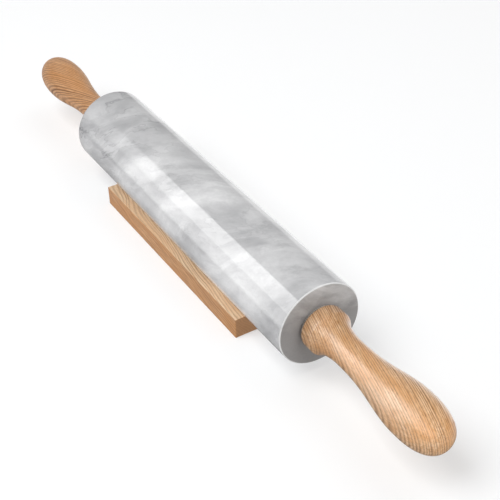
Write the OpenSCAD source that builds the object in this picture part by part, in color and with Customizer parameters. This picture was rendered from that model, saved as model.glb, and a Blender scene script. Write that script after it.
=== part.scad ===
// Marble rolling pin with turned wooden handles, lying in a grooved wooden cradle.
// Millimetres, +Z up. The origin is on the floor below the middle of the pin,
// +X runs along the pin to its right handle, and -Y is the cradle's front.

/* [Barrel] */
// Outer diameter of the marble barrel
barrel_d = 52; // [45:1:75]
// Length of the marble barrel
barrel_len = 254; // [190:1:400]
// Width of the small chamfer round each end of the barrel
barrel_ease = 0.8; // [0.2:0.1:2]
// Diameter of the bore through the barrel
bore_d = 14; // [12.5:0.5:18]

/* [Bearing bushes] */
// Diameter of a bush's flange, sunk flush into the barrel's end
flange_d = 24; // [20:0.5:30]
// Thickness of a bush's flange
flange_t = 3; // [1.5:0.5:6]
// Length of a bush's sleeve behind its flange
sleeve_len = 20; // [8:1:60]

/* [Axle rod] */
// Diameter of the rod where the barrel turns on it
rod_d = 10; // [9:0.25:11]
// Diameter of the rod's threaded ends
thread_d = 8; // [5:0.5:8.5]
// Length of each threaded end
thread_len = 32; // [24:1:36]
// Chamfer on the tips of the threaded ends
thread_lead = 1; // [0.3:0.1:2]

/* [Thrust washers] */
// Outer diameter of a thrust washer
washer_d = 22; // [14:0.5:24]
// Thickness of a thrust washer
washer_t = 1; // [0.5:0.1:2.5]

/* [Threaded inserts] */
// Outer diameter of the insert in each handle
insert_d = 12; // [10:0.25:13]
// Length of the insert
insert_len = 22; // [12:1:24]
// Depth of the ring grooves that key the insert into the wood
insert_groove = 0.6; // [0.2:0.1:0.8]

/* [Handles] */
// Length of a handle, from the collar's face to the round tip
handle_len = 105; // [95:1:130]
// Diameter of the collar beside the barrel
collar_d = 27.4; // [25:0.1:32]
// Length of the collar's straight band
collar_len = 8; // [5:0.5:10]
// Rounding of the collar's edge beside the barrel
collar_round = 1.8; // [0.5:0.1:2.5]
// Diameter of the neck
neck_d = 17.7; // [17:0.1:21]
// Distance of the neck from the collar's face
neck_pos = 26; // [22:0.5:34]
// Diameter of the bulb at its widest
bulb_d = 28.2; // [23:0.1:34]
// Distance of the bulb's widest place from the collar's face
bulb_pos = 78; // [60:1:84]

/* [Cradle] */
// Length of the cradle along the pin
cradle_len = 166; // [100:1:180]
// Width of the flat land on each side of the groove
land_w = 7.7; // [4:0.1:20]
// Depth of the groove below the lands
groove_depth = 7.2; // [4:0.1:12]
// Thickness of the wood below the bottom of the groove
groove_floor = 6; // [3:0.5:8]
// How far the cradle's middle lies from the pin's middle
cradle_shift = -3; // [-20:0.5:20]
// Chamfer on the cradle's outer edges
cradle_ease = 0.5; // [0.1:0.1:2]

/* [Clearances] */
// Radial gap between the rod and the bush it runs in
running_gap = 0.05; // [0.02:0.01:0.1]
// Radial gap filled by glue or a tapped thread
bond_gap = 0.05; // [0.01:0.01:0.1]
// Radial gap between a thrust washer and the rod
washer_gap = 0.15; // [0.1:0.05:0.4]
// Play of the barrel along the rod at each end
axial_play = 0.2; // [0.1:0.05:0.5]
// Radial gap between the barrel and the cradle's groove
groove_gap = 0.3; // [0.2:0.05:2]
// Free depth past the rod's tip in the handle's hole
hole_spare = 3; // [1:0.5:8]

/* [Hidden] */
$fn = 96;

barrel_r = barrel_d / 2;
bore_r = bore_d / 2;
rod_r = rod_d / 2;
thread_r = thread_d / 2;
insert_r = insert_d / 2;
sleeve_r = bore_r - bond_gap;
flange_seat_r = flange_d / 2 + bond_gap;

// The gap beside the barrel holds the washer and the play.
end_gap = washer_t + axial_play;
collar_x = barrel_len / 2 + end_gap;
rod_end_x = collar_x + thread_len;

groove_r = barrel_r + groove_gap;
axis_z = groove_floor + groove_r;

// The block is as wide as its groove and two lands, and as high as its groove and floor.
groove_half_w = sqrt(pow(groove_r, 2) - pow(groove_r - groove_depth, 2));
cradle_w = 2 * (groove_half_w + land_w);
cradle_h = groove_floor + groove_depth;

// Past either face of a cut, so that no thin skin is left.
cut_over = 1;

// The handle's outline is a set of [distance from the collar's face, radius] points.
collar_r = collar_d / 2;
neck_r = neck_d / 2;
bulb_r = bulb_d / 2;
shoulder_len = 1.4;
shoulder_drop = 0.6;
cove_reach = neck_pos - collar_len - shoulder_len;
cove_drop = collar_r - shoulder_drop - neck_r;
// An ellipse that is this much longer than the cove leaves the collar at a slope.
cove_stretch = 1.06;
cove_squash = 1 - sqrt(1 - 1 / pow(cove_stretch, 2));
swell_power = 1.3;
tip_power = 2.5;
tip_len = handle_len - bulb_pos;

round_steps = 5;
shoulder_steps = 4;
cove_steps = 14;
swell_steps = 18;
tip_steps = 18;

function bend(a, b, c, t) = (1 - t) * (1 - t) * a + 2 * t * (1 - t) * b + t * t * c;
function cove_radius(u) =
    neck_r + cove_drop / cove_squash * (1 - sqrt(1 - pow((1 - u) / cove_stretch, 2)));
function swell_radius(u) = neck_r + (bulb_r - neck_r) * (1 - cos(180 * pow(u, swell_power))) / 2;
function tip_point(angle) = [
    bulb_pos + tip_len * pow(sin(angle), 2 / tip_power),
    bulb_r * pow(cos(angle), 2 / tip_power)
];

edge_points = [
    for (i = [0 : round_steps])
        let (angle = 90 * i / round_steps)
        [collar_round * (1 - cos(angle)), collar_r - collar_round * (1 - sin(angle))]
];
shoulder_points = [
    for (i = [0 : shoulder_steps - 1])
        bend(
            [collar_len, collar_r],
            [collar_len + shoulder_len / 2, collar_r],
            [collar_len + shoulder_len, collar_r - shoulder_drop],
            i / shoulder_steps
        )
];
cove_points = [
    for (i = [0 : cove_steps - 1])
        [collar_len + shoulder_len + cove_reach * i / cove_steps, cove_radius(i / cove_steps)]
];
swell_points = [
    for (i = [0 : swell_steps - 1])
        [neck_pos + (bulb_pos - neck_pos) * i / swell_steps, swell_radius(i / swell_steps)]
];
tip_points = [for (i = [0 : tip_steps - 1]) tip_point(90 * i / tip_steps)];
handle_outline = concat(
    [[0, 0]], edge_points, shoulder_points, cove_points, swell_points, tip_points,
    [[handle_len, 0]]
);

// Turns an outline of [distance, radius] points about the X axis.
module turned(outline) {
    rotate([90, 0, 90])
        rotate_extrude()
            polygon([for (p = outline) [p[1], p[0]]]);
}

// Puts what is drawn along +X from 0 on the pin's axis at x, or mirrored at -x.
module at_end(x, side) {
    translate([0, 0, axis_z])
        mirror([side < 0 ? 1 : 0, 0, 0])
            translate([x, 0, 0])
                children();
}

module round_bar(r, x0, x1) {
    translate([x0, 0, 0])
        rotate([0, 90, 0])
            cylinder(h = x1 - x0, r = r);
}

// A box as long as size says, with every edge chamfered, standing on the floor.
module eased_block(size, ease) {
    x = size[0] / 2;
    y = size[1] / 2;
    z = size[2];
    function eased(a, b0, b1) = [
        [-a + ease, b0], [a - ease, b0], [a, b0 + ease], [a, b1 - ease],
        [a - ease, b1], [-a + ease, b1], [-a, b1 - ease], [-a, b0 + ease]
    ];
    intersection() {
        rotate([90, 0, 90])
            linear_extrude(size[0], center = true)
                polygon(eased(y, 0, z));
        rotate([90, 0, 0])
            linear_extrude(size[1], center = true)
                polygon(eased(x, 0, z));
        linear_extrude(z)
            polygon(eased(x, -y, y));
    }
}

module cradle() {
    color("burlywood")
        difference() {
            translate([cradle_shift, 0, 0])
                eased_block([cradle_len, cradle_w, cradle_h], cradle_ease);
            translate([cradle_shift, 0, axis_z])
                round_bar(groove_r, -cradle_len / 2 - cut_over, cradle_len / 2 + cut_over);
        }
}

module marble_barrel() {
    half = barrel_len / 2;
    color("lightgray")
        translate([0, 0, axis_z])
            difference() {
                turned([
                    [-half, 0], [-half, barrel_r - barrel_ease], [-half + barrel_ease, barrel_r],
                    [half - barrel_ease, barrel_r], [half, barrel_r - barrel_ease], [half, 0]
                ]);
                round_bar(bore_r, -half - cut_over, half + cut_over);
                round_bar(flange_seat_r, half - flange_t, half + cut_over);
                round_bar(flange_seat_r, -half - cut_over, -half + flange_t);
            }
}

module bearing_bush(side) {
    color("whitesmoke")
        at_end(barrel_len / 2, side)
            difference() {
                union() {
                    round_bar(flange_d / 2, -flange_t, 0);
                    round_bar(sleeve_r, -flange_t - sleeve_len, -flange_t / 2);
                }
                round_bar(rod_r + running_gap, -flange_t - sleeve_len - cut_over, cut_over);
            }
}

module axle_rod() {
    color("silver")
        translate([0, 0, axis_z])
            turned([
                [-rod_end_x, 0], [-rod_end_x, thread_r - thread_lead],
                [-rod_end_x + thread_lead, thread_r], [-collar_x, thread_r], [-collar_x, rod_r],
                [collar_x, rod_r], [collar_x, thread_r], [rod_end_x - thread_lead, thread_r],
                [rod_end_x, thread_r - thread_lead], [rod_end_x, 0]
            ]);
}

module thrust_washer(side) {
    color("white")
        at_end(collar_x - washer_t, side)
            difference() {
                round_bar(washer_d / 2, 0, washer_t);
                round_bar(rod_r + washer_gap, -cut_over, washer_t + cut_over);
            }
}

module threaded_insert(side) {
    band = insert_len / 5;
    color("goldenrod")
        at_end(collar_x, side)
            difference() {
                turned([
                    [0, 0], [0, insert_r], [band, insert_r],
                    [band, insert_r - insert_groove], [2 * band, insert_r - insert_groove],
                    [2 * band, insert_r], [3 * band, insert_r],
                    [3 * band, insert_r - insert_groove], [4 * band, insert_r - insert_groove],
                    [4 * band, insert_r], [insert_len, insert_r], [insert_len, 0]
                ]);
                round_bar(thread_r + bond_gap, -cut_over, insert_len + cut_over);
            }
}

module handle(side) {
    color("peru")
        at_end(collar_x, side)
            difference() {
                turned(handle_outline);
                round_bar(insert_r + bond_gap, -cut_over, insert_len);
                round_bar(thread_r + bond_gap, -cut_over, thread_len + hole_spare);
            }
}

cradle();
marble_barrel();
bearing_bush(-1);  // bearing_bush_left
bearing_bush(1);  // bearing_bush_right
axle_rod();
thrust_washer(-1);  // thrust_washer_left
thrust_washer(1);  // thrust_washer_right
threaded_insert(-1);  // threaded_insert_left
threaded_insert(1);  // threaded_insert_right
handle(-1);  // handle_left
handle(1);  // handle_right
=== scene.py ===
# Marble rolling pin with turned wooden handles in a grooved wooden cradle.
# Metres, +Z up. The pin's axis runs along X, and the cradle's front faces -Y.
import math

import bmesh
import bpy
from mathutils import Matrix, Vector


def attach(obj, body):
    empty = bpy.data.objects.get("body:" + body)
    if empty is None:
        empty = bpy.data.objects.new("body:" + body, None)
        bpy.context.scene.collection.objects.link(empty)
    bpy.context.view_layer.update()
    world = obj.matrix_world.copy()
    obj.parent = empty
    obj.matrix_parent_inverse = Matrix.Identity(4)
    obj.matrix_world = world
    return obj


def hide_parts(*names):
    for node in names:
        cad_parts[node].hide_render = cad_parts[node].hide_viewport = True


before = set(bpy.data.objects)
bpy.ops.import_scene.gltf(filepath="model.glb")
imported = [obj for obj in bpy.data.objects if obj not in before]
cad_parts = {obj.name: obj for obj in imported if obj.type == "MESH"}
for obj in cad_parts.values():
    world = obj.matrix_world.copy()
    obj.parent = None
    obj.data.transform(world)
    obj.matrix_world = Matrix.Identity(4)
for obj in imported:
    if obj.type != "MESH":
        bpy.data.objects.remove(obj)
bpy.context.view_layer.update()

MM = 0.001

# The pin, as the solids have it
AXIS_Z = 32.3 * MM
BARREL_R = 25.97 * MM
BARREL_HALF = 127 * MM
BARREL_ARRIS = 0.8 * MM
BORE_R = 7 * MM
SEAT_R = 12.05 * MM
SEAT_DEPTH = 3 * MM
COLLAR_X = 128.2 * MM

# A handle, measured from its collar's face
HANDLE_LEN = 105 * MM
COLLAR_R = 13.7 * MM
COLLAR_LEN = 8 * MM
COLLAR_ROUND = 1.8 * MM
SHOULDER_LEN = 1.4 * MM
SHOULDER_DROP = 0.6 * MM
NECK_R = 8.85 * MM
NECK_POS = 26 * MM
BULB_R = 14.1 * MM
BULB_POS = 78 * MM
COVE_STRETCH = 1.06
SWELL_POWER = 1.3
TIP_POWER = 2.5
INSERT_HOLE_R = 6.05 * MM
INSERT_HOLE_DEPTH = 22 * MM
ROD_HOLE_R = 4.05 * MM
ROD_HOLE_DEPTH = 35 * MM

# The cradle
CRADLE_LEN = 166 * MM
CRADLE_W = 51.56 * MM
CRADLE_H = 13.2 * MM
CRADLE_X = -3 * MM
GROOVE_R = 26.3 * MM
CRADLE_ROUND = 0.5 * MM

# How fine the meshes are
SHARP_ANGLE = 35
BARREL_SIDES = 192
HANDLE_SIDES = 160
ARRIS_STEPS = 8
COLLAR_STEPS = 10
GROOVE_STEPS = 48
# A flat ends in a narrow strip beside a rounding, which keeps its shading flat
FLAT_STRIP = 0.3 * MM


def finish_mesh(name, bm):
    """Makes an object of a bmesh, smooth except along its sharp edges."""
    bmesh.ops.recalc_face_normals(bm, faces=bm.faces)
    mesh = bpy.data.meshes.new(name)
    bm.to_mesh(mesh)
    bm.free()
    for face in mesh.polygons:
        face.use_smooth = True
    mesh.set_sharp_from_angle(angle=math.radians(SHARP_ANGLE))
    piece = bpy.data.objects.new(name, mesh)
    bpy.context.scene.collection.objects.link(piece)
    return piece


def lathe(bm, outline, segments):
    """Turns a closed outline of (x, radius) points about the pin's axis."""
    rings = []
    for x, radius in outline:
        if radius == 0:
            rings.append([bm.verts.new((x, 0, AXIS_Z))] * segments)
            continue
        ring = []
        for i in range(segments):
            angle = 2 * math.pi * i / segments
            y = radius * math.sin(angle)
            z = radius * math.cos(angle)
            ring.append(bm.verts.new((x, y, AXIS_Z + z)))
        rings.append(ring)
    for i, ring in enumerate(rings):
        after = rings[(i + 1) % len(rings)]
        if ring[0] is ring[1] and after[0] is after[1]:
            continue
        for j in range(segments):
            k = (j + 1) % segments
            corners = [ring[j], ring[k], after[k], after[j]]
            bm.faces.new(list(dict.fromkeys(corners)))


def spread(start, end, count):
    """Even steps from start towards end, without the end itself."""
    return [start + (end - start) * i / count for i in range(count)]


def barrel_outline():
    """Half of the barrel, from its middle to its bore at +X."""
    inner = BARREL_R - BARREL_ARRIS
    corner_x = BARREL_HALF - BARREL_ARRIS
    points = [(x, BARREL_R) for x in spread(0, corner_x - 1 * MM, 16)]
    points.append((corner_x - FLAT_STRIP, BARREL_R))
    for i in range(ARRIS_STEPS + 1):
        angle = math.radians(90 * i / ARRIS_STEPS)
        x = corner_x + BARREL_ARRIS * math.sin(angle)
        points.append((x, inner + BARREL_ARRIS * math.cos(angle)))
    points.append((BARREL_HALF, inner - FLAT_STRIP))
    points += [(BARREL_HALF, r) for r in spread(inner - 1 * MM, SEAT_R, 5)]
    points.append((BARREL_HALF, SEAT_R))
    points.append((BARREL_HALF - SEAT_DEPTH, SEAT_R))
    points.append((BARREL_HALF - SEAT_DEPTH, BORE_R))
    return points


def make_barrel():
    right = barrel_outline()
    left = [(-x, radius) for x, radius in right[1:]]
    bm = bmesh.new()
    lathe(bm, right + left[::-1], BARREL_SIDES)
    piece = finish_mesh("barrel_stone", bm)
    finishes = list(STONE_TONES)
    for finish in finishes:
        piece.data.materials.append(marble(finish))
    for face in piece.data.polygons:
        lean = abs(face.normal.x)
        inside = (face.center.yz - Vector((0, AXIS_Z))).length < SEAT_R
        # The end faces and the bore get the darker stone, which is partly painted shade
        if lean > 0.99 or inside:
            face.material_index = finishes.index("honed_painted_shade")
        # The rounded edge gets paler stone, partly painted highlight
        elif lean > 0.15:
            face.material_index = finishes.index("arris")
    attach(piece, "barrel")
    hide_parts("marble_barrel")


def cove_radius(u):
    """The hollow from the shoulder (u = 0) to the neck (u = 1), part of an ellipse."""
    drop = COLLAR_R - SHOULDER_DROP - NECK_R
    squash = 1 - math.sqrt(1 - 1 / COVE_STRETCH ** 2)
    sag = 1 - math.sqrt(1 - ((1 - u) / COVE_STRETCH) ** 2)
    return NECK_R + drop / squash * sag


def swell_radius(u):
    """The swell from the neck (u = 0) to the widest place of the bulb (u = 1)."""
    return NECK_R + (BULB_R - NECK_R) * (1 - math.cos(math.pi * u ** SWELL_POWER)) / 2


def bend(a, b, c, t):
    """The value at t on a curve from a to c that is pulled towards b."""
    return (1 - t) ** 2 * a + 2 * t * (1 - t) * b + t ** 2 * c


def handle_outline():
    """The outside from the collar's face to the tip, then the stepped hole."""
    flat_r = COLLAR_R - COLLAR_ROUND - FLAT_STRIP
    points = [(0, r) for r in spread(INSERT_HOLE_R, flat_r, 3)]
    points.append((0, flat_r))
    for i in range(COLLAR_STEPS + 1):
        angle = math.radians(90 * i / COLLAR_STEPS)
        s = COLLAR_ROUND * (1 - math.cos(angle))
        points.append((s, COLLAR_R - COLLAR_ROUND * (1 - math.sin(angle))))
    points += [(s, COLLAR_R) for s in spread(COLLAR_ROUND + 0.4 * MM, COLLAR_LEN, 4)]
    points.append((COLLAR_LEN - FLAT_STRIP, COLLAR_R))
    for t in spread(0, 1, 8):
        s = bend(0, SHOULDER_LEN / 2, SHOULDER_LEN, t)
        r = bend(COLLAR_R, COLLAR_R, COLLAR_R - SHOULDER_DROP, t)
        points.append((COLLAR_LEN + s, r))
    cove_start = COLLAR_LEN + SHOULDER_LEN
    for u in spread(0, 1, 28):
        points.append((cove_start + (NECK_POS - cove_start) * u, cove_radius(u)))
    for u in spread(0, 1, 40):
        points.append((NECK_POS + (BULB_POS - NECK_POS) * u, swell_radius(u)))
    for angle in spread(0, math.pi / 2, 44):
        s = BULB_POS + (HANDLE_LEN - BULB_POS) * math.sin(angle) ** (2 / TIP_POWER)
        points.append((s, BULB_R * math.cos(angle) ** (2 / TIP_POWER)))
    points.append((HANDLE_LEN, 0))
    points.append((ROD_HOLE_DEPTH, 0))
    points.append((ROD_HOLE_DEPTH, ROD_HOLE_R))
    points.append((INSERT_HOLE_DEPTH, ROD_HOLE_R))
    points.append((INSERT_HOLE_DEPTH, INSERT_HOLE_R))
    return points


def make_handle(side_name, side, material):
    outline = [(side * (COLLAR_X + s), r) for s, r in handle_outline()]
    bm = bmesh.new()
    lathe(bm, outline, HANDLE_SIDES)
    piece = finish_mesh("handle_turned_" + side_name, bm)
    piece.data.materials.append(material)
    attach(piece, "handles")
    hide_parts("handle_" + side_name)
    return piece


def cradle_section():
    """The cradle's cross-section as (y, z) points, with the groove as its last run."""
    half = CRADLE_W / 2
    rise = AXIS_Z - CRADLE_H
    edge_angle = math.acos(rise / GROOVE_R)
    points = [(-half, CRADLE_H), (-half, 0), (half, 0), (half, CRADLE_H)]
    for i in range(GROOVE_STEPS + 1):
        angle = edge_angle * (1 - 2 * i / GROOVE_STEPS)
        y = GROOVE_R * math.sin(angle)
        points.append((y, AXIS_Z - GROOVE_R * math.cos(angle)))
    return points


def make_cradle():
    bm = bmesh.new()
    section = cradle_section()
    ends = []
    for x in (CRADLE_X - CRADLE_LEN / 2, CRADLE_X + CRADLE_LEN / 2):
        ends.append([bm.verts.new((x, y, z)) for y, z in section])
    for i in range(len(section)):
        k = (i + 1) % len(section)
        bm.faces.new([ends[0][i], ends[0][k], ends[1][k], ends[1][i]])
    bm.faces.new(ends[0])
    bm.faces.new(ends[1])
    bmesh.ops.recalc_face_normals(bm, faces=bm.faces)
    corners = [e for e in bm.edges if e.calc_face_angle(0) > math.radians(30)]
    bmesh.ops.bevel(
        bm, geom=corners, offset=CRADLE_ROUND, segments=4, profile=0.5, affect="EDGES"
    )
    piece = finish_mesh("cradle_block", bm)
    weighted = piece.modifiers.new("flat faces stay flat", "WEIGHTED_NORMAL")
    weighted.keep_sharp = True
    # The top gets the lighter copy of the wood, which is painted light; the ends get the darker end
    # grain
    parts = {"sides": CRADLE_SIDES, "top": CRADLE_TOP_PAINTED_LIGHT, "ends": CRADLE_ENDS}
    for name, colours in parts.items():
        piece.data.materials.append(wood("cradle_" + name, colours, CRADLE_GRAIN, OILED))
    order = list(parts)
    for face in piece.data.polygons:
        if abs(face.normal.x) > 0.9:
            face.material_index = order.index("ends")
        elif face.normal.z > 0.9 and face.center.z > CRADLE_H - 0.1 * MM:
            face.material_index = order.index("top")
    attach(piece, "cradle")
    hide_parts("cradle")


def new_material(name):
    """A material with one shader: the material, its node tree and the shader."""
    material = bpy.data.materials.new(name)
    material.use_nodes = True
    tree = material.node_tree
    tree.nodes.clear()
    output = tree.nodes.new("ShaderNodeOutputMaterial")
    shader = tree.nodes.new("ShaderNodeBsdfPrincipled")
    tree.links.new(shader.outputs["BSDF"], output.inputs["Surface"])
    return material, tree, shader


def add(tree, kind, inputs, **settings):
    """Adds a node, whose inputs are values or other nodes' outputs."""
    node = tree.nodes.new(kind)
    for key, value in settings.items():
        setattr(node, key, value)
    for key, value in inputs.items():
        if isinstance(value, bpy.types.NodeSocket):
            tree.links.new(value, node.inputs[key])
        else:
            node.inputs[key].default_value = value
    return node


def calc(tree, operation, a, b=0.0):
    """One step of arithmetic on values or outputs."""
    node = add(tree, "ShaderNodeMath", {0: a, 1: b}, operation=operation)
    return node.outputs[0]


def stretched(tree, vector, x, y, z):
    """A vector times x, y and z: for a noise, its patches per metre each way."""
    node = add(tree, "ShaderNodeVectorMath", {0: vector, 1: (x, y, z)}, operation="MULTIPLY")
    return node.outputs["Vector"]


def noise(tree, vector, detail=2.0, roughness=0.5):
    inputs = {"Vector": vector, "Scale": 1.0, "Detail": detail, "Roughness": roughness}
    return add(tree, "ShaderNodeTexNoise", inputs).outputs["Fac"]


def between(tree, value, low, high, to_low=0.0, to_high=1.0):
    """Maps low..high smoothly to to_low..to_high, and holds the ends."""
    inputs = {"Value": value, 1: low, 2: high, 3: to_low, 4: to_high}
    node = add(tree, "ShaderNodeMapRange", inputs, interpolation_type="SMOOTHSTEP")
    return node.outputs["Result"]


def ramp(tree, value, stops):
    """A grey curve through (position, level) stops."""
    node = add(tree, "ShaderNodeValToRGB", {"Fac": value})
    curve = node.color_ramp
    curve.interpolation = "EASE"
    while len(curve.elements) < len(stops):
        curve.elements.new(0.5)
    for element, (position, level) in zip(curve.elements, stops):
        element.position = position
        element.color = (level, level, level, 1)
    return node.outputs["Color"]


def mixed(tree, factor, a, b, blend_type="MIX"):
    """Two colours mixed; inputs 6 and 7 and output 2 are the node's colour sockets."""
    inputs = {0: factor, 6: a, 7: b}
    node = add(tree, "ShaderNodeMix", inputs, data_type="RGBA", blend_type=blend_type)
    return node.outputs[2]


def object_place(tree):
    """The place in the object's own coordinates, in metres."""
    return add(tree, "ShaderNodeTexCoord", {}).outputs["Object"]


def turned_place(tree, place, offset, degrees):
    """Object coordinates seen from a turned and shifted block of stone or wood."""
    rotation = [math.radians(d) for d in degrees]
    inputs = {"Vector": place, "Location": offset, "Rotation": rotation}
    return add(tree, "ShaderNodeMapping", inputs).outputs["Vector"]


def bump(tree, height, depth):
    inputs = {"Height": height, "Distance": depth, "Strength": 1.0}
    return add(tree, "ShaderNodeBump", inputs).outputs["Normal"]


# The direction across the stone's layers, and the part of the quarry that it is cut from
STONE_LAYERS = (-0.53, 0.30, 0.79)
STONE_OFFSET = (0.31, 0.12, 0.27)
# Pale ground, dark clouds and veins of each finish
STONE_TONES = {
    "polished": ((0.81, 0.81, 0.815), (0.38, 0.38, 0.39), (0.22, 0.22, 0.23)),
    # The end faces and the bore get darker colours than the polished stone: partly painted shade
    "honed_painted_shade": ((0.60, 0.59, 0.585), (0.26, 0.253, 0.25), (0.2, 0.195, 0.19)),
    # The rounded edge's paler, even colours are partly painted highlight, partly an unpolished
    # edge's whiter look
    "arris": ((0.76, 0.76, 0.76), (0.62, 0.62, 0.62), (0.45, 0.45, 0.45)),
}


def warped(tree, vector, scale, reach):
    """Pushes a place about by up to half of reach, over patches 1/scale long."""
    field = add(
        tree, "ShaderNodeTexNoise",
        {"Vector": stretched(tree, vector, scale, scale, scale), "Scale": 1.0, "Detail": 2.0}
    )
    centred = add(
        tree, "ShaderNodeVectorMath", {0: field.outputs["Color"], 1: (0.5, 0.5, 0.5)},
        operation="SUBTRACT"
    )
    push = stretched(tree, centred.outputs["Vector"], reach, reach, reach)
    moved = add(tree, "ShaderNodeVectorMath", {0: vector, 1: push}, operation="ADD")
    return moved.outputs["Vector"]


def bedded_place(tree, place):
    """Object coordinates turned so that Z runs across the stone's layers."""
    across = Vector(STONE_LAYERS).normalized()
    strike = across.cross(Vector((0, 0, 1))).normalized()
    turn = Matrix((strike, across.cross(strike), across)).to_euler()
    return turned_place(tree, place, STONE_OFFSET, [math.degrees(angle) for angle in turn])


def painted_shade_and_clouds(tree, finish, along, up):
    """Painted shade on the end faces, more grey towards their bottom; on the polished stone, denser
    clouds over the top of the right end.
    """
    if finish == "honed_painted_shade":
        return between(tree, up, AXIS_Z - BARREL_R, AXIS_Z + BARREL_R, 1.0, 0.0)
    right_end = between(tree, along, 0.05, 0.12, 0.0, 0.28)
    return calc(tree, "MULTIPLY", right_end, between(tree, up, AXIS_Z, AXIS_Z + 18 * MM))


def veins(tree, broad, cloud, left_end):
    """Thin dark threads where the clouds fold, strongest at the left end."""
    fold = calc(tree, "ABSOLUTE", calc(tree, "SUBTRACT", cloud, 0.5))
    thread = between(tree, fold, 0.0, 0.02, 1.0, 0.0)
    thread = calc(tree, "MULTIPLY", thread, between(tree, broad, 0.35, 0.55))
    return calc(tree, "MULTIPLY", thread, calc(tree, "ADD", left_end, 0.3))


def marble(finish):
    """Pale grey stone with soft clouds and smeared streaks along its tilted layers."""
    material, tree, shader = new_material("marble_" + finish)
    place = object_place(tree)
    folded = warped(tree, bedded_place(tree, place), 16, 0.03)
    smeared = warped(tree, folded, 60, 0.006)

    broad = noise(tree, stretched(tree, folded, 16, 16, 38), 2.0, 0.5)
    cloud = noise(tree, stretched(tree, folded, 34, 34, 100), 4.0, 0.55)
    smudge = noise(tree, stretched(tree, smeared, 70, 70, 260), 4.0, 0.6)
    mottle = noise(tree, stretched(tree, place, 420, 420, 420), 3.0, 0.6)
    grains = noise(tree, stretched(tree, place, 1500, 1500, 1500), 2.0, 0.6)

    spot = add(tree, "ShaderNodeSeparateXYZ", {"Vector": place})
    along = spot.outputs["X"]
    up = spot.outputs["Z"]
    left_end = between(tree, along, -0.11, -0.05, 1.0, 0.0)
    streaks = 0.3 if finish == "honed_painted_shade" else 0.15
    grey = between(tree, broad, 0.36, 0.64, 0.1, 0.55)
    grey = calc(tree, "ADD", grey, between(tree, cloud, 0.38, 0.66, 0.0, 0.27))
    grey = calc(tree, "ADD", grey, between(tree, smudge, 0.42, 0.7, 0.0, streaks))
    grey = calc(tree, "ADD", grey, calc(tree, "MULTIPLY", left_end, 0.36))
    # Painted shade towards the bottom of the end faces
    grey = calc(tree, "ADD", grey, painted_shade_and_clouds(tree, finish, along, up))
    thread = veins(tree, broad, cloud, left_end)

    pale, dark, vein = [(*colour, 1) for colour in STONE_TONES[finish]]
    colour = mixed(tree, grey, pale, dark)
    colour = mixed(tree, calc(tree, "MULTIPLY", thread, 0.6), colour, vein)
    colour = mixed(tree, between(tree, mottle, 0.35, 0.7, 0.0, 0.12), colour, dark)
    colour = mixed(tree, between(tree, grains, 0.5, 0.8, 0.0, 0.05), colour, (0.8, 0.8, 0.82, 1))
    tree.links.new(colour, shader.inputs["Base Color"])

    if finish == "polished":
        shader.inputs["IOR"].default_value = 1.55
        rough = between(tree, smudge, 0.3, 0.7, 0.06, 0.1)
        relief = bump(tree, mottle, 0.004 * MM)
    else:
        shader.inputs["IOR"].default_value = 1.5
        rough = between(tree, mottle, 0.3, 0.7, 0.5, 0.62)
        relief = bump(tree, grains, 0.04 * MM)
    tree.links.new(rough, shader.inputs["Roughness"])
    tree.links.new(relief, shader.inputs["Normal"])
    return material


# Light wood, middle tone, the dark line of each growth layer, warm patches
NEAR_HANDLE = ((0.89, 0.60, 0.36), (0.67, 0.375, 0.17), (0.24, 0.09, 0.022), (0.70, 0.335, 0.11))
FAR_HANDLE = ((0.80, 0.46, 0.235), (0.64, 0.325, 0.145), (0.18, 0.07, 0.024), (0.66, 0.31, 0.11))
CRADLE_SIDES = ((0.67, 0.37, 0.165), (0.46, 0.215, 0.08), (0.29, 0.125, 0.042), (0.53, 0.24, 0.075))
# The top's colours are a lighter copy of the wood: painted light where light falls on the top
CRADLE_TOP_PAINTED_LIGHT = ((0.96, 0.75, 0.52), (0.88, 0.61, 0.385), (0.48, 0.265, 0.12), (0.90, 0.58, 0.33))
CRADLE_ENDS = ((0.50, 0.265, 0.12), (0.41, 0.21, 0.09), (0.35, 0.17, 0.068), (0.45, 0.22, 0.09))
PORE = (0.27, 0.115, 0.036, 1)
# The colour that the painted shade on the handles multiplies in
PAINTED_SHADE_TONE = (0.6, 0.57, 0.55, 1)

# The log's turn about X and Z in degrees, its pith's distance, the thickness of a
# growth layer, how far the layers wander, and the strength of the pores
NEAR_GRAIN = (4, 16, 0.09, 1.2 * MM, 1.3 * MM, 0.6)
FAR_GRAIN = (-12, -21, 0.08, 1.4 * MM, 1.6 * MM, 0.5)
CRADLE_GRAIN = (-30, 7, 0.12, 1.5 * MM, 6.0 * MM, 0.25)
# The darkness of a growth layer across its thickness, as (place, level)
LAYER_TONES = (
    (0.0, 0.6), (0.08, 1.0), (0.28, 0.95), (0.5, 0.25), (0.75, 0.0), (0.92, 0.05), (1.0, 0.6)
)

# The least and the most roughness, and the weight of the clear coat
LACQUERED = (0.3, 0.4)
OILED = (0.42, 0.52)
NEAR_COAT = 0.8
FAR_COAT = 0.1

# An axis, the places on it where the painted shade ends and is full, and its strength:
# the near handle has painted shade beside its collar, the far one on its front
NEAR_PAINTED_SHADE = ("X", COLLAR_X + 45 * MM, COLLAR_X, 0.5)
FAR_PAINTED_SHADE = ("Y", 6 * MM, -14 * MM, 0.3)


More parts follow.
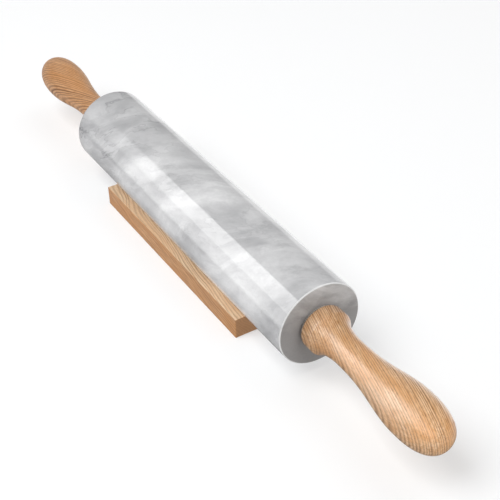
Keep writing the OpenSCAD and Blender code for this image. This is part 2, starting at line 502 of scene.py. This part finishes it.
def growth_lines(tree, log, layer, wander, patch):
    """The dark lines of the growth layers, some of them fainter than others."""
    sway = noise(tree, stretched(tree, log, 14, 42, 42), 2.0, 0.5)
    across = add(
        tree, "ShaderNodeVectorMath", {0: stretched(tree, log, 0, 1, 1)}, operation="LENGTH"
    ).outputs["Value"]
    sway = calc(tree, "MULTIPLY", calc(tree, "SUBTRACT", sway, 0.5), 2 * wander)
    depth = calc(tree, "DIVIDE", calc(tree, "ADD", across, sway), layer)
    uneven = add(
        tree, "ShaderNodeTexNoise",
        {"W": calc(tree, "MULTIPLY", depth, 0.4), "Scale": 1.0, "Detail": 1.0},
        noise_dimensions="1D"
    ).outputs["Fac"]
    depth = calc(tree, "ADD", depth, calc(tree, "MULTIPLY", uneven, 1.2))
    line = ramp(tree, calc(tree, "FRACT", depth), LAYER_TONES)
    line = calc(tree, "MULTIPLY", line, between(tree, uneven, 0.3, 0.7, 0.6, 1.0))
    return calc(tree, "MULTIPLY", line, between(tree, patch, 0.35, 0.6, 1.0, 0.65))


def wood_colour(tree, colours, fibre, patch, line, pore):
    light, middle, dark, warm = [(*colour, 1) for colour in colours]
    colour = mixed(tree, between(tree, fibre, 0.3, 0.7), light, middle)
    colour = mixed(tree, between(tree, patch, 0.45, 0.65, 0.0, 0.7), colour, warm)
    colour = mixed(tree, calc(tree, "MULTIPLY", line, 0.85), colour, dark)
    return mixed(tree, pore, colour, PORE)


def with_painted_shade(tree, colour, place, shade):
    """The colour with painted shade: darker along one axis."""
    axis, edge, full, strength = shade
    spot = add(tree, "ShaderNodeSeparateXYZ", {"Vector": place}).outputs[axis]
    darker = between(tree, spot, edge, full, 0.0, strength)
    return mixed(tree, darker, colour, PAINTED_SHADE_TONE, "MULTIPLY")


def wood_surface(tree, shader, gloss, fibre, line, pore):
    """Roughness that follows the fibres, and a relief with open pores."""
    low, high = gloss
    rough = between(tree, fibre, 0.25, 0.75, low, high)
    rough = calc(tree, "ADD", rough, calc(tree, "MULTIPLY", line, 0.06))
    tree.links.new(rough, shader.inputs["Roughness"])
    ridge = calc(tree, "MULTIPLY", line, -0.5)
    ridge = calc(tree, "SUBTRACT", ridge, calc(tree, "MULTIPLY", pore, 0.7))
    ridge = calc(tree, "ADD", ridge, calc(tree, "MULTIPLY", fibre, 0.3))
    tree.links.new(bump(tree, ridge, 0.05 * MM), shader.inputs["Normal"])


def wood(name, colours, grain, gloss, coat=0.0, shade=None):
    """Ring-porous wood, cut from a log whose pith lies beside the piece."""
    material, tree, shader = new_material(name)
    turn_x, turn_z, pith, layer, wander, porous = grain
    place = object_place(tree)
    log = turned_place(tree, place, (0, pith, 0), (turn_x, 0, turn_z))

    patch = noise(tree, stretched(tree, log, 20, 70, 70), 2.0, 0.5)
    line = growth_lines(tree, log, layer, wander, patch)
    fibre = noise(tree, stretched(tree, log, 50, 750, 750), 4.0, 0.6)
    pores = noise(tree, stretched(tree, log, 380, 1600, 1600), 2.0, 0.5)
    pore = between(tree, pores, 0.52, 0.62)
    pore = calc(tree, "MULTIPLY", pore, between(tree, line, 0.0, 0.8, 0.4, 1.0))

    stain = calc(tree, "MULTIPLY", pore, porous)
    colour = wood_colour(tree, colours, fibre, patch, line, stain)
    # Painted shade: the colour is made darker along one axis when a shade is given
    if shade:
        colour = with_painted_shade(tree, colour, place, shade)
    tree.links.new(colour, shader.inputs["Base Color"])
    wood_surface(tree, shader, gloss, fibre, line, pore)
    shader.inputs["IOR"].default_value = 1.5
    shader.inputs["Coat Weight"].default_value = coat
    shader.inputs["Coat Roughness"].default_value = 0.25
    return material


def turned_metal(name, colour, dark, rough):
    """Metal with the fine rings that a lathe leaves."""
    material, tree, shader = new_material(name)
    place = object_place(tree)
    rings = noise(tree, stretched(tree, place, 9000, 60, 60), 2.0, 0.6)
    stain = noise(tree, stretched(tree, place, 120, 120, 120), 3.0, 0.6)
    tone = mixed(tree, between(tree, stain, 0.35, 0.75), colour, dark)
    tree.links.new(tone, shader.inputs["Base Color"])
    shader.inputs["Metallic"].default_value = 1.0
    tree.links.new(between(tree, rings, 0.3, 0.7, rough, rough + 0.15), shader.inputs["Roughness"])
    tree.links.new(bump(tree, rings, 0.01 * MM), shader.inputs["Normal"])
    return material


def moulded_plastic(name, colour, shade):
    """Plastic with a faint mottle and a fine spark-eroded grain."""
    material, tree, shader = new_material(name)
    place = object_place(tree)
    mottle = noise(tree, stretched(tree, place, 200, 200, 200), 3.0, 0.6)
    grain = noise(tree, stretched(tree, place, 4000, 4000, 4000), 2.0, 0.5)
    tone = mixed(tree, between(tree, mottle, 0.3, 0.7), colour, shade)
    tree.links.new(tone, shader.inputs["Base Color"])
    tree.links.new(between(tree, grain, 0.3, 0.7, 0.42, 0.55), shader.inputs["Roughness"])
    tree.links.new(bump(tree, grain, 0.015 * MM), shader.inputs["Normal"])
    return material


def dress_hardware():
    """Gives the solids that keep their own shape, most of them hidden, their materials."""
    steel = turned_metal("steel_turned", (0.58, 0.58, 0.59, 1), (0.46, 0.46, 0.47, 1), 0.25)
    brass = turned_metal("brass_turned", (0.72, 0.53, 0.25, 1), (0.58, 0.40, 0.17, 1), 0.28)
    white = moulded_plastic("plastic_white", (0.80, 0.80, 0.77, 1), (0.72, 0.72, 0.69, 1))
    dark = moulded_plastic("plastic_dark", (0.045, 0.045, 0.048, 1), (0.03, 0.03, 0.032, 1))
    finishes = {
        "axle_rod": steel,
        "threaded_insert_left": brass,
        "threaded_insert_right": brass,
        "bearing_bush_left": white,
        "bearing_bush_right": white,
        "thrust_washer_left": dark,
        "thrust_washer_right": dark,
    }
    for node, material in finishes.items():
        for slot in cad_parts[node].material_slots:
            slot.material = material


def make_camera():
    """The photo's own viewpoint and lens."""
    image_px = 500
    location = Vector((0.50115, -0.26356, 0.42316))
    azimuth = math.radians(59.398)
    elevation = math.radians(36.669)
    roll = math.radians(-1.756)
    focal_px = 1111.65
    back = Vector((
        math.sin(azimuth) * math.cos(elevation),
        -math.cos(azimuth) * math.cos(elevation),
        math.sin(elevation)
    ))
    level = Vector((math.cos(azimuth), math.sin(azimuth), 0))
    upright = back.cross(level)
    right = level * math.cos(roll) + upright * math.sin(roll)
    up = upright * math.cos(roll) - level * math.sin(roll)
    data = bpy.data.cameras.new("camera")
    data.sensor_width = 36
    data.lens = focal_px * data.sensor_width / image_px
    data.clip_start = 0.01
    data.clip_end = 50
    camera = bpy.data.objects.new("camera", data)
    rotation = Matrix((right, up, back)).transposed()
    camera.matrix_world = Matrix.Translation(location) @ rotation.to_4x4()
    bpy.context.scene.collection.objects.link(camera)
    bpy.context.scene.camera = camera


def flat_sheet(name, corners, material):
    mesh = bpy.data.meshes.new(name)
    mesh.from_pydata(corners, [], [range(len(corners))])
    mesh.materials.append(material)
    sheet = bpy.data.objects.new(name, mesh)
    bpy.context.scene.collection.objects.link(sheet)
    return sheet


def make_floor():
    material, tree, shader = new_material("studio_floor")
    shader.inputs["Base Color"].default_value = (0.53, 0.535, 0.54, 1)
    shader.inputs["Roughness"].default_value = 0.9
    shader.inputs["Specular IOR Level"].default_value = 0.0
    shader.inputs["Emission Color"].default_value = (1, 1, 1, 1)
    shader.inputs["Emission Strength"].default_value = 0.432
    reach = 8.0
    corners = [(-reach, -reach, 0), (reach, -reach, 0), (reach, reach, 0), (-reach, reach, 0)]
    floor = flat_sheet("floor", corners, material)
    floor.visible_glossy = False
    return floor


def glow(name, strength, far_fade, near_fade, near_level, rise, low_level):
    """A light card's emission, which fades at both ends along X and down its slope."""
    material = bpy.data.materials.new(name)
    material.use_nodes = True
    tree = material.node_tree
    tree.nodes.clear()
    place = add(tree, "ShaderNodeSeparateXYZ", {"Vector": object_place(tree)})
    far = between(tree, place.outputs["X"], far_fade[0], far_fade[1])
    near = between(tree, place.outputs["X"], near_fade[0], near_fade[1], 1.0, near_level)
    lift = between(tree, place.outputs["Z"], rise[0], rise[1], low_level, 1.0)
    level = calc(tree, "MULTIPLY", calc(tree, "MULTIPLY", far, near), lift)
    level = calc(tree, "MULTIPLY", level, strength)
    light = add(tree, "ShaderNodeEmission", {"Color": (1, 1, 1, 1), "Strength": level})
    output = tree.nodes.new("ShaderNodeOutputMaterial")
    tree.links.new(light.outputs[0], output.inputs["Surface"])
    return material


def reflection_card(name, material, x0, x1, lower, upper):
    """A bright card that shows only in reflections, between two (y, z) edges."""
    corners = [(x0, *lower), (x1, *lower), (x1, *upper), (x0, *upper)]
    card = flat_sheet(name, corners, material)
    card.visible_camera = False
    card.visible_diffuse = False
    card.visible_shadow = False
    return card


def card_edge(distance, angle):
    """A point in the YZ plane, at an angle above the front horizon."""
    a = math.radians(angle)
    return (-distance * math.cos(a), AXIS_Z + distance * math.sin(a))


def front_card(name, material, x0, x1, low, high):
    """A reflection card in front of the pin, between two angles above the horizon."""
    lower = card_edge(CARD_DISTANCE, low)
    upper = card_edge(CARD_DISTANCE, high)
    return reflection_card(name, material, x0, x1, lower, upper)


def soft_light(name, location, size, power):
    """A rectangular light that faces the pin, with its long side level."""
    data = bpy.data.lights.new(name, "AREA")
    data.shape = "RECTANGLE"
    data.size, data.size_y = size
    data.energy = power
    lamp = bpy.data.objects.new(name, data)
    lamp.location = location
    aim = Vector(location) - Vector((0, 0, AXIS_Z))
    lamp.rotation_euler = aim.to_track_quat("Z", "Y").to_euler()
    lamp.visible_glossy = False
    bpy.context.scene.collection.objects.link(lamp)
    return lamp


def share(light, receivers, state):
    """Keeps a light off some objects, or gives it to them alone."""
    group = bpy.data.collections.new(light.name + "_receivers")
    for receiver in receivers:
        group.objects.link(receiver)
    light.light_linking.receiver_collection = group
    for member in group.collection_objects:
        member.light_linking.link_state = state


# How far off the cards stand, and the angles between which the bright band lies
CARD_DISTANCE = 1.2
BACK_DISTANCE = 1.3
BAND_LOW = 19
BAND_HIGH = 60.5

# Name, place, size and power of the lights on the pin and of those on the floor alone
PIN_LIGHTS = (
    ("front_light", (-0.1, -0.8, 1.05), (1.2, 0.8), 8.5),
    ("key_light", (0.95, 0.2, 0.95), (0.7, 0.7), 6.5),
)
FLOOR_LIGHTS = (
    ("floor_light", (-0.05, -0.76, 1.32), (1.0, 1.0), 16.8),
    ("floor_light_rear", (0.0, 0.8, 1.2), (1.0, 1.0), 3.2),
)


def make_cards(near_handle, far_handle):
    """The cards whose reflections are the gloss on stone and wood."""
    far_fade = (-1.85, -1.05)
    near_fade = (-0.84, -0.35)
    even = (-0.01, 0.0)
    band = glow("band_glow", 5.1, far_fade, near_fade, 0.6, even, 0.0)
    card = front_card("band_card", band, -2.4, -0.2, BAND_LOW, BAND_HIGH)
    share(card, [far_handle], "EXCLUDE")
    step = glow("step_glow", 2.95, far_fade, near_fade, 0.5, (-0.5, -0.22), 0.2)
    card = front_card("step_card", step, -2.4, -0.2, -30, BAND_LOW)
    share(card, [far_handle], "EXCLUDE")
    rim = glow("rim_glow", 1.2, (-1.3, -1.2), (0.3, 0.4), 0.0, even, 0.0)
    reflection_card("rim_card", rim, -1.2, 0.2, (0.04, -1 * MM), (1.2, -1 * MM))
    # Two more bands give the pin a gloss from some of its other sides.
    side = glow("side_glow", 2.8, (-0.8, -0.6), (2.2, 2.8), 0.0, even, 0.0)
    front_card("side_card", side, -0.2, 2.8, BAND_LOW, BAND_HIGH)
    lower = card_edge(BACK_DISTANCE, 156)
    upper = card_edge(BACK_DISTANCE, 120)
    card = reflection_card("back_card", side, -0.6, 2.8, lower, upper)
    share(card, [near_handle, far_handle], "EXCLUDE")


def make_lights(floor):
    for settings in PIN_LIGHTS:
        share(soft_light(*settings), [floor], "EXCLUDE")
    for settings in FLOOR_LIGHTS:
        share(soft_light(*settings), [floor], "INCLUDE")


def make_world():
    world = bpy.data.worlds.new("studio")
    world.use_nodes = True
    tree = world.node_tree
    direction = add(tree, "ShaderNodeTexCoord", {}).outputs["Generated"]
    height = add(tree, "ShaderNodeSeparateXYZ", {"Vector": direction}).outputs["Z"]
    background = tree.nodes["Background"]
    background.inputs["Color"].default_value = (1, 1, 1, 1)
    # The lower half stands in for the floor in reflections: bright, but dark under the pin.
    below = between(tree, height, -0.72, -0.5, 0.2, 0.75)
    above = between(tree, height, -0.1, 0.05, 0.0, -0.3)
    tree.links.new(calc(tree, "ADD", below, above), background.inputs["Strength"])
    bpy.context.scene.world = world
    bpy.context.scene.view_settings.view_transform = "Standard"


make_camera()
make_barrel()
near_wood = wood("handle_near", NEAR_HANDLE, NEAR_GRAIN, LACQUERED, NEAR_COAT, NEAR_PAINTED_SHADE)
far_wood = wood("handle_far", FAR_HANDLE, FAR_GRAIN, OILED, FAR_COAT, FAR_PAINTED_SHADE)
near_handle = make_handle("right", 1, near_wood)
far_handle = make_handle("left", -1, far_wood)
make_cradle()
dress_hardware()
studio_floor = make_floor()
make_cards(near_handle, far_handle)
make_lights(studio_floor)
make_world()
